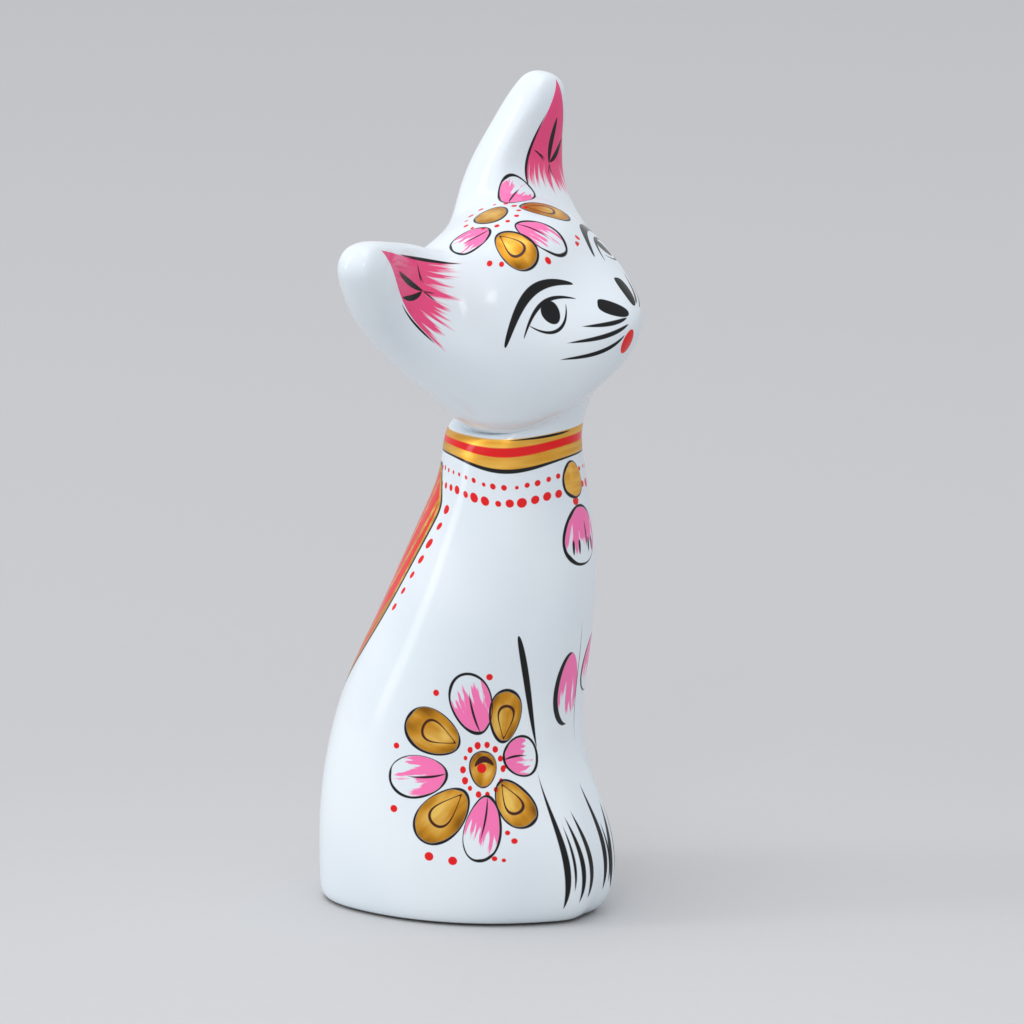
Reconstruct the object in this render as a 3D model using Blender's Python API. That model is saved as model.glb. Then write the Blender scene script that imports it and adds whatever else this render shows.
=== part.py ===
"""A sitting cat with its head turned and tilted, cast in metal as one piece.

The cat faces -Y and stands on z = 0. A skin of rings runs up the body and the head,
and the ears are drawn out of the head's sides.
"""

import math

import bmesh
import bpy
from mathutils import Matrix, Vector

# Driving sizes, in metres
HEIGHT = 0.150
BASE_LENGTH = 0.0570
BASE_WIDTH = 0.0460
HEAD_RADIUS = 0.0215
EAR_REACH = 0.0470
EAR_TIP_RADIUS = 0.0054
EDGE_ROUND = 0.0015

# Pose of the head, in degrees: to its right, chin up, right ear down
HEAD_TURN = 7.5
HEAD_LIFT = 9.5
HEAD_TILT = 26.0

# Way the ears point, in degrees: outward and forward
EAR_SPREAD = 38.4
EAR_LEAN = 15.7

# Sections of the body: height as a share of the neck's height, reach to the front
# and to the back as shares of half the base's length, half width as a share of half
# the base's width, how far the front half narrows, how full the outline is, and the
# depth of the groove between the forelegs as a share of half the base's length
NECK_HEIGHT = 0.592
BODY_SECTIONS = (
    (0.00, 0.88, 0.94, 0.90, 0.62, 0.36, 0.05),
    (0.08, 1.05, 0.95, 0.95, 0.60, 0.34, 0.07),
    (0.20, 0.95, 0.96, 0.96, 0.50, 0.28, 0.06),
    (0.32, 0.74, 0.93, 0.92, 0.32, 0.16, 0.04),
    (0.45, 0.755, 0.83, 0.87, 0.20, 0.08, 0.03),
    (0.60, 0.83, 0.595, 0.79, 0.12, 0.02, 0.02),
    (0.75, 0.84, 0.375, 0.70, 0.06, 0.00, 0.00),
    (0.87, 0.785, 0.19, 0.60, 0.02, 0.00, 0.00),
    (0.95, 0.73, 0.085, 0.515, 0.00, 0.00, 0.00),
    (1.00, 0.70, 0.16, 0.53, 0.00, 0.00, 0.00),
)

# Sections of the head, all as shares of the head's radius: height above its middle,
# and then as for the body
HEAD_SECTIONS = (
    (-0.74, 0.42, 0.82, 0.64, 0.00, 0.00, 0.00),
    (-0.60, 0.76, 0.83, 0.80, 0.04, 0.00, 0.00),
    (-0.38, 1.04, 0.83, 0.96, 0.12, 0.04, 0.00),
    (-0.12, 1.16, 0.88, 1.06, 0.20, 0.08, 0.00),
    (0.10, 1.00, 0.93, 1.08, 0.16, 0.06, 0.00),
    (0.32, 0.82, 0.93, 1.05, 0.08, 0.00, 0.00),
    (0.55, 0.75, 0.83, 0.96, 0.02, 0.00, 0.00),
    (0.75, 0.66, 0.67, 0.82, 0.00, 0.00, 0.00),
    (0.88, 0.43, 0.46, 0.54, 0.00, 0.00, 0.00),
)
CROWN_HEIGHT = 0.95

# Place of the head's middle, as shares of the height
HEAD_SIDEWAYS = -0.0147
HEAD_FORWARD = 0.0727

# Ears: root behind and below the head's middle. Sections give how far they have left
# the head, and as shares of its radius the distance from the root, the half width,
# the half thickness to the back and to the front, and the shift to the outer edge
EAR_ROOT_BACK = 0.60
EAR_ROOT_BELOW = 0.35
EAR_SECTIONS = (
    (0.50, 1.24, 0.62, 0.64, 0.33, 0.00),
    (0.90, 1.42, 0.53, 0.52, 0.25, -0.03),
    (1.00, 1.64, 0.42, 0.42, 0.18, -0.01),
    (1.00, 1.90, 0.34, 0.34, 0.17, 0.00),
)
EAR_FRONT_FULLNESS = 0.45
EAR_TIP_FRONT = 0.90

# Fairing of the ears into the head: how often and how strongly, how many of an ear's
# rings take part, and how far round its patch, as a share of the patch's half width
FAIRING_PASSES = 5
FAIRING_FACTOR = 0.5
FAIRING_STAGES = 2
FAIRING_MARGIN = 1.7

# Mesh: columns round the skin, a multiple of eight, rings along it, and the rows of
# the head and columns of its left side that an ear grows from
COLUMNS = 24
GROOVE_ANGLE = 2 * math.pi / COLUMNS
BODY_RINGS = 15
HEAD_RINGS = 11
EAR_ROWS = (4, 10)
EAR_COLUMNS = (4, 10)
PATCH_MARGIN = 1.01
MERGE_DISTANCE = 0.00001
SMOOTH_LEVEL = 1

# Enamel: a slightly blue white, fired glossy over the metal
ENAMEL_COLOUR = (0.76, 0.81, 0.84, 1.0)
ENAMEL_ROUGHNESS = 0.12
ENAMEL_METALLIC = 0.0


def smooth_through(sections, place):
    """Every value of the sections at one place, on a smooth curve through them."""
    last = len(sections) - 1
    first = max(i for i in range(last) if sections[i][0] <= place or i == 0)
    span = sections[first + 1][0] - sections[first][0]
    share = (place - sections[first][0]) / span

    def slope(i, column):
        low = sections[max(i - 1, 0)]
        high = sections[min(i + 1, last)]
        return (high[column] - low[column]) / (high[0] - low[0]) * span

    values = []
    for column in range(1, len(sections[0])):
        start = sections[first][column]
        end = sections[first + 1][column]
        values.append(
            start * (1 + 2 * share) * (1 - share) ** 2
            + slope(first, column) * share * (1 - share) ** 2
            + end * share**2 * (3 - 2 * share)
            + slope(first + 1, column) * share**2 * (share - 1)
        )
    return values


def outline_point(angle, section):
    """A point of a section seen from above, with angle 0 at the front."""
    front, back, half_width, narrowing, fullness, groove = section
    ahead = math.cos(angle)
    across = math.sin(angle)
    narrow = 1 - narrowing * max(ahead, 0)
    dip = groove * max(1 - abs(across / math.sin(GROOVE_ANGLE)), 0)
    reach = front - dip if ahead > 0 else back
    across = math.copysign(abs(across) ** (1 - fullness), across)
    ahead = math.copysign(abs(ahead) ** (1 - fullness), ahead)
    return Vector((half_width * across * narrow, -reach * ahead, 0))


def square_to_disc(across, along):
    """Turns a place in a square into a distance from the middle and an angle."""
    radius = max(abs(across), abs(along))
    if radius < 1e-6:
        return 0, 0
    if abs(along) >= abs(across):
        angle = math.pi / 4 * across / along + (0 if along > 0 else math.pi)
    else:
        angle = math.pi / 2 - math.pi / 4 * along / across
        angle += 0 if across > 0 else math.pi
    return radius, angle


def ear_frame(side):
    """An ear's place in the head's frame: Z runs along the ear, X points over its
    inner edge and Y to its back. Side 1 is the cat's left ear."""
    spread = math.radians(EAR_SPREAD)
    lean = math.radians(EAR_LEAN)
    flat = Vector((side * math.sin(spread), 0, math.cos(spread)))
    along = flat * math.cos(lean) + Vector((0, -math.sin(lean), 0))
    inward = Vector((-side * math.cos(spread), 0, math.sin(spread)))
    behind = (inward.cross(along) * side).normalized()
    turn = Matrix((inward, behind, along)).transposed().to_4x4()
    root = Vector((0, EAR_ROOT_BACK, -EAR_ROOT_BELOW)) * HEAD_RADIUS
    return Matrix.Translation(root) @ turn


def head_frame():
    """The head's place and turn. The higher ear ends at the figure's height."""
    turn = (
        Matrix.Rotation(math.radians(-HEAD_TURN), 4, "Z")
        @ Matrix.Rotation(math.radians(-HEAD_LIFT), 4, "X")
        @ Matrix.Rotation(math.radians(-HEAD_TILT), 4, "Y")
    )
    ear_tip = turn @ ear_frame(1) @ Vector((0, 0, EAR_REACH))
    rise = ear_tip.z + EAR_TIP_RADIUS
    middle = Vector((HEAD_SIDEWAYS * HEIGHT, -HEAD_FORWARD * HEIGHT, HEIGHT - rise))
    return Matrix.Translation(middle) @ turn


def body_ring(height, inset):
    """A frame and a section at one height of the body, widest at half its length."""
    place = height / (NECK_HEIGHT * HEIGHT)
    front, back, half_width, *shape, groove = smooth_through(BODY_SECTIONS, place)
    half_base = BASE_LENGTH / 2
    half_length = (front + back) / 2 * half_base - inset
    middle = (front - back) / 2 * half_base
    section = (
        half_length,
        half_length,
        half_width * BASE_WIDTH / 2 - inset,
        *shape,
        groove * half_base,
    )
    return Matrix.Translation((0, -middle, height)), section


def body_rings():
    """Rings from the underside, over its rounded edge, to the neck."""
    neck = NECK_HEIGHT * HEIGHT
    rings = [body_ring(0, 2 * EDGE_ROUND), body_ring(0, EDGE_ROUND / 2)]
    rings.append(body_ring(EDGE_ROUND, 0))
    low = 3 * EDGE_ROUND
    steps = BODY_RINGS - len(rings) - 1
    for i in range(steps + 1):
        rings.append(body_ring(low + (neck - low) * i / steps, 0))
    return rings


def head_rings():
    """Rings from under the chin to the crown, as a frame and a section each."""
    frame = head_frame()
    low = HEAD_SECTIONS[0][0]
    high = HEAD_SECTIONS[-1][0]
    rings = []
    for i in range(HEAD_RINGS):
        place = low + (high - low) * i / (HEAD_RINGS - 1)
        front, back, half_width, *shape = smooth_through(HEAD_SECTIONS, place)
        section = (
            front * HEAD_RADIUS,
            back * HEAD_RADIUS,
            half_width * HEAD_RADIUS,
            *shape,
        )
        lift = Matrix.Translation((0, 0, place * HEAD_RADIUS))
        rings.append((frame @ lift, section))
    return rings


def add_skin(bm, rings, spot):
    """A grid rolled into a tube along the rings. Each vertex notes its spot, which is
    its column and its ring."""
    rows = len(rings) - 1
    grid = bmesh.ops.create_grid(bm, x_segments=COLUMNS, y_segments=rows, size=0.5)
    for vert in grid["verts"]:
        column = (vert.co.x + 0.5) * COLUMNS
        row = round((vert.co.y + 0.5) * rows)
        vert[spot] = (column, row, 0)
        frame, section = rings[row]
        vert.co = frame @ outline_point(2 * math.pi * column / COLUMNS, section)


def add_cap(bm, rings, row, rise, spot):
    """A square grid laid in the disc of a ring, with its middle raised."""
    segments = COLUMNS // 4
    grid = bmesh.ops.create_grid(bm, x_segments=segments, y_segments=segments, size=1)
    frame, section = rings[row]
    for vert in grid["verts"]:
        radius, angle = square_to_disc(vert.co.x, vert.co.y)
        vert[spot] = (angle / (2 * math.pi) * COLUMNS, row + 1 - radius, 0)
        lift = Vector((0, 0, rise * (1 - radius**2)))
        vert.co = frame @ (outline_point(angle, section) * radius + lift)


def grow_ear(bm, side, spot, rest):
    """Draws a patch of the head out along the ear, ring by ring, to a round tip."""
    low, high = (BODY_RINGS + row for row in EAR_ROWS)
    front, back = EAR_COLUMNS

    def place_in_patch(vert):
        column = vert[spot].x if side > 0 else COLUMNS - vert[spot].x
        over = 2 * (vert[spot].y - low) / (high - low) - 1
        behind = 2 * (column - front) / (back - front) - 1
        return over, behind

    def within(vert, margin):
        return max(abs(value) for value in place_in_patch(vert)) < margin

    ear = head_frame() @ ear_frame(side)
    stages = [
        (left, *(value * HEAD_RADIUS for value in section))
        for left, *section in EAR_SECTIONS
    ]
    tip = (EAR_TIP_RADIUS, EAR_TIP_RADIUS, EAR_TIP_RADIUS * EAR_TIP_FRONT)
    stages.append((1, EAR_REACH, *tip, 0))
    patch = [
        face
        for face in bm.faces
        if all(within(vert, PATCH_MARGIN) for vert in face.verts)
    ]
    for vert in {vert for face in patch for vert in face.verts}:
        vert[rest] = vert.co
    for stage, section in enumerate(stages):
        left, distance, half_width, back_reach, front_reach, shift = section
        grown = bmesh.ops.extrude_face_region(bm, geom=patch)["geom"]
        bmesh.ops.delete(bm, geom=patch, context="FACES")
        patch = [item for item in grown if isinstance(item, bmesh.types.BMFace)]
        for vert in {vert for face in patch for vert in face.verts}:
            radius, angle = square_to_disc(*place_in_patch(vert))
            inward = half_width * radius * math.sin(angle) - shift
            behind = radius * math.cos(angle)
            if behind > 0:
                behind *= back_reach
            else:
                behind = -front_reach * abs(behind) ** (1 - EAR_FRONT_FULLNESS)
            dome = EAR_TIP_RADIUS * math.sqrt(max(1 - radius**2, 0))
            drawn = ear @ Vector((inward, behind, distance + dome))
            vert.co = Vector(vert[rest]).lerp(drawn, left)
            vert[spot] = (vert[spot].x, vert[spot].y, stage + 1)

    around = [
        vert
        for vert in bm.verts
        if vert[spot].z <= FAIRING_STAGES
        and vert[spot].y > BODY_RINGS
        and within(vert, FAIRING_MARGIN)
    ]
    for _ in range(FAIRING_PASSES):
        bmesh.ops.smooth_vert(
            bm,
            verts=around,
            factor=FAIRING_FACTOR,
            use_axis_x=True,
            use_axis_y=True,
            use_axis_z=True,
        )


def enamel_material():
    """White enamel, as a plain glossy surface."""
    material = bpy.data.materials.new("White enamel")
    material.use_nodes = True
    shader = material.node_tree.nodes["Principled BSDF"]
    shader.inputs["Base Color"].default_value = ENAMEL_COLOUR
    shader.inputs["Roughness"].default_value = ENAMEL_ROUGHNESS
    shader.inputs["Metallic"].default_value = ENAMEL_METALLIC
    return material


def build_cat():
    """The whole figure as one smooth closed skin."""
    bm = bmesh.new()
    spot = bm.verts.layers.float_vector.new("spot")
    rest = bm.verts.layers.float_vector.new("rest")
    rings = body_rings() + head_rings()
    crown_rise = (CROWN_HEIGHT - HEAD_SECTIONS[-1][0]) * HEAD_RADIUS
    add_skin(bm, rings, spot)
    add_cap(bm, rings, 0, 0, spot)
    add_cap(bm, rings, len(rings) - 1, crown_rise, spot)
    bmesh.ops.remove_doubles(bm, verts=bm.verts, dist=MERGE_DISTANCE)
    for side in (-1, 1):
        grow_ear(bm, side, spot, rest)
    bmesh.ops.recalc_face_normals(bm, faces=bm.faces)

    mesh = bpy.data.meshes.new("cat_figurine")
    bm.to_mesh(mesh)
    bm.free()
    mesh.shade_smooth()
    mesh.materials.append(enamel_material())
    cat = bpy.data.objects.new("cat_figurine", mesh)
    bpy.context.scene.collection.objects.link(cat)
    smooth = cat.modifiers.new("Smooth form", "SUBSURF")
    smooth.levels = SMOOTH_LEVEL
    smooth.render_levels = SMOOTH_LEVEL
    return cat


for old in list(bpy.data.objects):
    bpy.data.objects.remove(old)
build_cat()
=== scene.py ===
# %% [markdown]
# # A painted enamel cat
#
# This lesson dresses a small sitting cat. The real one is cast in light metal, coated in
# white enamel, and painted by hand with a brush: a collar, two rows of beads, a cloth on
# the back, flowers and a face. The shape comes ready-made, so most of the lesson is paint.

import math

import bmesh
import bpy
from mathutils import Matrix, Vector


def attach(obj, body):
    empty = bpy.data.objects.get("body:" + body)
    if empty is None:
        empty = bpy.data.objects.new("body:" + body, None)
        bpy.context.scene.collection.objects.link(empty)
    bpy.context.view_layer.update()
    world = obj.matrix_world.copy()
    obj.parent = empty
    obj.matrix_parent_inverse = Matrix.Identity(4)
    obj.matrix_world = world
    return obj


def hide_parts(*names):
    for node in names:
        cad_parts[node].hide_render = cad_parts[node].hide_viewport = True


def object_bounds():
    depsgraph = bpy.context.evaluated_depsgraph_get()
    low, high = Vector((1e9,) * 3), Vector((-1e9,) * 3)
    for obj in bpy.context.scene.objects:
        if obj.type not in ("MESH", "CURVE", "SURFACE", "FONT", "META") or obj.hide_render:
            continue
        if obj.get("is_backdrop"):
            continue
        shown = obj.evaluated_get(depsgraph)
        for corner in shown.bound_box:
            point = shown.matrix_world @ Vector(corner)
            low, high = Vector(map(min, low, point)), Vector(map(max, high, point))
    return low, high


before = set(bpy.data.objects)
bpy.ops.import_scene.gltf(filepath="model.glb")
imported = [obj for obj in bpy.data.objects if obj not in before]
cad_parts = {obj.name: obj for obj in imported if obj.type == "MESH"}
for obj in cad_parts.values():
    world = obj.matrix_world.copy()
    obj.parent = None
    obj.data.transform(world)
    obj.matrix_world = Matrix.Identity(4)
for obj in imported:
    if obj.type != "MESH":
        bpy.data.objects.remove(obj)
cad_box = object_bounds()
print("the cat stands", round(cad_box[1].z * 1000, 1), "mm tall")

# %% [markdown]
# ## The camera
#
# The cat is seen from its right front, from a little above, through a long lens that
# keeps its sides nearly parallel. The lens follows from how many pixels a metre covers
# at the cat's distance, and a small shift puts the cat left of the middle, as it stands
# in the picture.

# %% Aim the camera
IMAGE_WIDTH = 1024
VIEW_AZIMUTH = math.radians(-57)
VIEW_ELEVATION = math.radians(11)
VIEW_DISTANCE = 0.9
PIXELS_PER_METRE = 5600
AIM = Vector((0, 0, 0.075))
AIM_COLUMN = 472
AIM_ROW = 492
SENSOR_WIDTH = 36


def direction(azimuth, elevation):
    """The way out from the cat, with azimuth 0 in front of its chest."""
    flat = math.cos(elevation)
    return Vector((math.sin(azimuth) * flat, -math.cos(azimuth) * flat, math.sin(elevation)))


camera_data = bpy.data.cameras.new("camera")
camera_data.sensor_width = SENSOR_WIDTH
camera_data.lens = SENSOR_WIDTH * PIXELS_PER_METRE * VIEW_DISTANCE / IMAGE_WIDTH
camera_data.shift_x = (IMAGE_WIDTH / 2 - AIM_COLUMN) / IMAGE_WIDTH
camera_data.shift_y = (AIM_ROW - IMAGE_WIDTH / 2) / IMAGE_WIDTH
camera = bpy.data.objects.new("camera", camera_data)
outward = direction(VIEW_AZIMUTH, VIEW_ELEVATION)
camera.location = AIM + outward * VIEW_DISTANCE
camera.rotation_euler = (-outward).to_track_quat("-Z", "Y").to_euler()
bpy.context.scene.collection.objects.link(camera)
bpy.context.scene.camera = camera
bpy.context.scene.view_settings.view_transform = "Standard"
print("the lens is", round(camera_data.lens), "mm")

# %% [markdown]
# ## Two small helpers
#
# A colour is easiest to pick as a hex code, but the shader wants linear light, so one
# function turns one into the other. A second one adds a node, fills in its settings and
# links its inputs. Every material below is built from it.

# %% Helpers for colours and nodes
MATH = "ShaderNodeMath"
VECTOR_MATH = "ShaderNodeVectorMath"
SPLIT = "ShaderNodeSeparateXYZ"
JOIN = "ShaderNodeCombineXYZ"
MAPPING = "ShaderNodeMapping"
NOISE = "ShaderNodeTexNoise"
MIX_COLOUR = "ShaderNodeMixRGB"
RAMP = "ShaderNodeMapRange"
GROUP = "ShaderNodeGroup"
COORDINATES = "ShaderNodeTexCoord"


def linear(hex_code):
    """An sRGB hex code as a linear colour."""
    values = [int(hex_code[i : i + 2], 16) / 255 for i in (1, 3, 5)]
    return tuple(
        value / 12.92 if value <= 0.04045 else ((value + 0.055) / 1.055) ** 2.4
        for value in values
    ) + (1.0,)


def add(tree, kind, inputs=(), **settings):
    """A node with its settings. Inputs are values, sockets or nodes, in order or by name."""
    made = tree.nodes.new(kind)
    for name, value in settings.items():
        setattr(made, name, value)
    for name, value in inputs.items() if isinstance(inputs, dict) else enumerate(inputs):
        if isinstance(value, bpy.types.Node):
            value = value.outputs[0]
        if isinstance(value, bpy.types.NodeSocket):
            tree.links.new(value, made.inputs[name])
        else:
            made.inputs[name].default_value = value
    return made


def new_group(name, inputs, outputs):
    """An empty node group, its input node and its output node."""
    tree = bpy.data.node_groups.new(name, "ShaderNodeTree")
    for sockets, way in ((inputs, "INPUT"), (outputs, "OUTPUT")):
        for socket, kind in sockets.items():
            tree.interface.new_socket(socket, in_out=way, socket_type="NodeSocket" + kind)
    return tree, add(tree, "NodeGroupInput"), add(tree, "NodeGroupOutput")


print("white enamel in linear light:", [round(value, 2) for value in linear("#e2eaef")])

# %% [markdown]
# ## The ground the cat stands on
#
# In the studio the cat stands on a plain pale sheet that the lamps light a little more
# round it. A big disc does that from every side. Its paint holds that light as a painted
# pool: it fades from a paler painted pool of light near the cat to the grey further out,
# with a trace of grain so that it isn't one flat tone.

# %% Lay the pale floor
FLOOR_RADIUS = 8.0
FLOOR_SIDES = 96
# Where the painted pool of light lies ahead of the cat, and where it starts and ends fading
PAINTED_POOL_AHEAD = 0.08
PAINTED_POOL_INNER = 0.03
PAINTED_POOL_OUTER = 0.24
# The floor's colour in the painted pool of light near the cat, and further out
FLOOR_PAINTED_POOL = linear("#c8c9ca")
FLOOR_FAR = linear("#bebec0")
FLOOR_GRAIN_MM = 2.0
FLOOR_GRAIN_DEPTH = 0.015
PAPER_ROUGHNESS = 0.7

floor_mesh = bpy.data.meshes.new("floor")
floor = bpy.data.objects.new("floor", floor_mesh)
bm = bmesh.new()
bmesh.ops.create_circle(bm, cap_ends=True, segments=FLOOR_SIDES, radius=FLOOR_RADIUS)
bm.to_mesh(floor_mesh)
bm.free()
bpy.context.scene.collection.objects.link(floor)
floor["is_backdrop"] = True

paper = bpy.data.materials.new("Matt background paper")
paper.use_nodes = True
tree = paper.node_tree
shader = tree.nodes["Principled BSDF"]
shader.inputs["Roughness"].default_value = PAPER_ROUGHNESS
place = add(tree, COORDINATES).outputs["Object"]
# A painted pool of light: the floor's colour is paler near the cat
painted_pool = (outward.x * PAINTED_POOL_AHEAD, outward.y * PAINTED_POOL_AHEAD, 0)
away = add(tree, VECTOR_MATH, (place, painted_pool), operation="DISTANCE")
fade = add(
    tree,
    RAMP,
    (away.outputs["Value"], PAINTED_POOL_INNER, PAINTED_POOL_OUTER),
    interpolation_type="SMOOTHSTEP",
)
tone = add(tree, MIX_COLOUR, (fade, FLOOR_PAINTED_POOL, FLOOR_FAR))
grain = add(tree, NOISE, {"Vector": place, "Scale": 1000 / FLOOR_GRAIN_MM, "Detail": 2.0})
speck = add(tree, RAMP, (grain, 0.0, 1.0, 1 - FLOOR_GRAIN_DEPTH, 1 + FLOOR_GRAIN_DEPTH))
grained = add(tree, MIX_COLOUR, (1.0, tone, speck), blend_type="MULTIPLY")
tree.links.new(grained.outputs[0], shader.inputs["Base Color"])
floor_mesh.materials.append(paper)
print("the floor reaches", FLOOR_RADIUS, "m out")

# %% [markdown]
# ## Soft studio light
#
# An even pale sky lights everything a little. The main light is broad, and comes from the
# left and above, so that the right of the picture falls into a soft shade. Over it come
# soft boxes: a tall one to the left that draws the long bright streak down the flank, one
# overhead, and a small one beside the camera whose glow lies on the cheek.

# %% Hang the lights
SKY_COLOUR = linear("#f4f6fa")
SKY_STRENGTH = 0.86
MAIN_FROM = (-118, 50)
MAIN_STRENGTH = 0.52
MAIN_BREADTH = 75
SOFT_BOXES = {
    # name: azimuth and elevation in degrees, distance, width and height in metres, watts
    "left strip": (-138, 22, 1.80, 0.38, 1.60, 6.5),
    "overhead": (-75, 76, 2.20, 1.25, 1.25, 7.0),
    "cheek glow": (-70, 26, 1.80, 0.36, 0.36, 2.2),
}

world = bpy.data.worlds.new("studio")
world.use_nodes = True
world.node_tree.nodes["Background"].inputs["Color"].default_value = SKY_COLOUR
world.node_tree.nodes["Background"].inputs["Strength"].default_value = SKY_STRENGTH
bpy.context.scene.world = world
data = bpy.data.lights.new("main light", "SUN")
data.energy = MAIN_STRENGTH
data.angle = math.radians(MAIN_BREADTH)
main_light = bpy.data.objects.new("main light", data)
toward = direction(*(math.radians(angle) for angle in MAIN_FROM))
main_light.rotation_euler = toward.to_track_quat("Z", "Y").to_euler()
bpy.context.scene.collection.objects.link(main_light)
for name, (azimuth, elevation, distance, width, height, watts) in SOFT_BOXES.items():
    data = bpy.data.lights.new(name, "AREA")
    data.shape = "RECTANGLE"
    data.size = width
    data.size_y = height
    data.energy = watts
    box = bpy.data.objects.new(name, data)
    away = direction(math.radians(azimuth), math.radians(elevation))
    box.location = AIM + away * distance
    box.rotation_euler = away.to_track_quat("Z", "Y").to_euler()
    bpy.context.scene.collection.objects.link(box)
print("soft boxes:", len(SOFT_BOXES))

# %% [markdown]
# ## One smooth skin
#
# The ready-made shape is a net of small triangles. Glossy enamel shows every facet, so a
# copy of it is welded, its triangles are paired into four-sided faces, and a subdivision
# surface rounds it. Nothing is moved, so it keeps its size.

# %% Copy and smooth the cat
WELD_DISTANCE = 0.000001
ANY_ANGLE = math.pi
SMOOTH_LEVELS = 2

bm = bmesh.new()
bm.from_mesh(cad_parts["cat_figurine"].data)
bmesh.ops.remove_doubles(bm, verts=bm.verts, dist=WELD_DISTANCE)
bmesh.ops.join_triangles(
    bm,
    faces=bm.faces,
    angle_face_threshold=ANY_ANGLE,
    angle_shape_threshold=ANY_ANGLE,
)
for face in bm.faces:
    face.smooth = True
print("four-sided faces:", sum(len(face.verts) == 4 for face in bm.faces), "of", len(bm.faces))

# %% [markdown]
# ## Where the paint goes
#
# A painter follows the form: round the body, round the head, along the ear. The paint
# here does the same, on flat charts that are rolled onto the cat. Each chart is in
# millimetres. The body's chart runs round the cat from the middle of its chest, and up.
# The head's charts first undo the head's turn. Both sides of the cat are painted alike,
# so most charts fold the two sides onto each other, about the painted middle.

# %% Place of the head
HEAD_MIDDLE = Vector((-0.0022, -0.0109, 0.1077))
HEAD_TURN = 7.5
HEAD_LIFT = 9.5
HEAD_TILT = 26.0
EAR_SPREAD = 38.4
FACE_SHIFT = 1.8
NOSE_SHIFT = 0.9
BODY_CHART_RADIUS = 20.0
FACE_CHART_RADIUS = 21.5
MILLIMETRE = 0.001

head_turn = (
    Matrix.Rotation(math.radians(-HEAD_TURN), 3, "Z")
    @ Matrix.Rotation(math.radians(-HEAD_LIFT), 3, "X")
    @ Matrix.Rotation(math.radians(-HEAD_TILT), 3, "Y")
)
ear_turn = math.radians(EAR_SPREAD)
EAR_ALONG = Vector((math.sin(ear_turn), 0, math.cos(ear_turn)))
EAR_ACROSS = Vector((-math.cos(ear_turn), 0, math.sin(ear_turn)))


def head_place(point):
    """A point of the cat in the head's own millimetres, from the painted middle."""
    place = head_turn.transposed() @ (point - HEAD_MIDDLE) / MILLIMETRE
    return place - Vector((FACE_SHIFT, 0, 0))


print("the head is turned", HEAD_TURN, "and tilted", HEAD_TILT, "degrees")

# %% Charts as nodes
def body_chart(tree, folded):
    """Round the body from the middle of the chest, and up from the ground."""
    place = add(tree, SPLIT, (add(tree, COORDINATES).outputs["Object"],))
    side = place.outputs["X"]
    if folded:
        side = add(tree, MATH, (side,), operation="ABSOLUTE")
    ahead = add(tree, MATH, (place.outputs["Y"], -1.0), operation="MULTIPLY")
    angle = add(tree, MATH, (side, ahead), operation="ARCTAN2")
    around = add(tree, MATH, (angle, BODY_CHART_RADIUS), operation="MULTIPLY")
    up = add(tree, MATH, (place.outputs["Z"], 1 / MILLIMETRE), operation="MULTIPLY")
    return add(tree, JOIN, (around, up, 0.0))


def head_chart(tree):
    """The head's own millimetres, from the painted middle."""
    middle = HEAD_MIDDLE + head_turn @ Vector((FACE_SHIFT * MILLIMETRE, 0, 0))
    return add(
        tree,
        MAPPING,
        {
            "Vector": add(tree, COORDINATES).outputs["Object"],
            "Location": middle,
            "Rotation": head_turn.to_euler(),
            "Scale": (MILLIMETRE, MILLIMETRE, MILLIMETRE),
        },
        vector_type="TEXTURE",
    )


def face_chart(tree):
    """Round the head from the nose line, both sides folded, and up."""
    place = add(tree, SPLIT, (head_chart(tree),))
    side = add(tree, MATH, (place.outputs["X"], NOSE_SHIFT), operation="SUBTRACT")
    side = add(tree, MATH, (side,), operation="ABSOLUTE")
    ahead = add(tree, MATH, (place.outputs["Y"], -1.0), operation="MULTIPLY")
    angle = add(tree, MATH, (side, ahead), operation="ARCTAN2")
    around = add(
        tree, MATH, (angle, FACE_CHART_RADIUS, -NOSE_SHIFT), operation="MULTIPLY_ADD"
    )
    return add(tree, JOIN, (around, place.outputs["Z"], 0.0))


def ear_chart(tree):
    """Out along the ear and across it to its inner edge, both ears folded together."""
    place = add(tree, SPLIT, (head_chart(tree),))
    side = add(tree, MATH, (place.outputs["X"],), operation="ABSOLUTE")
    folded = add(tree, JOIN, (side, 0.0, place.outputs["Z"]))
    along = add(tree, VECTOR_MATH, (folded, EAR_ALONG), operation="DOT_PRODUCT")
    across = add(tree, VECTOR_MATH, (folded, EAR_ACROSS), operation="DOT_PRODUCT")
    return add(tree, JOIN, (along.outputs["Value"], across.outputs["Value"], 0.0))


print("charts: body, head, face, ear")

# %% [markdown]
# ## A brush stroke
#
# A loaded brush touches down, swells and lifts off, and it rarely goes quite straight.
# So a stroke is a chart of its own: it runs from 0 to 1 along the stroke, its middle bows
# to one side, and its width rises and falls like a hill. Heavy puts the fullest part
# nearer one end, and taper makes the ends blunt or needle-fine. One node group holds
# that, and every line on the cat uses it.

# %% Node group for a brush stroke
PAINT_EDGE = 0.12

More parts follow.
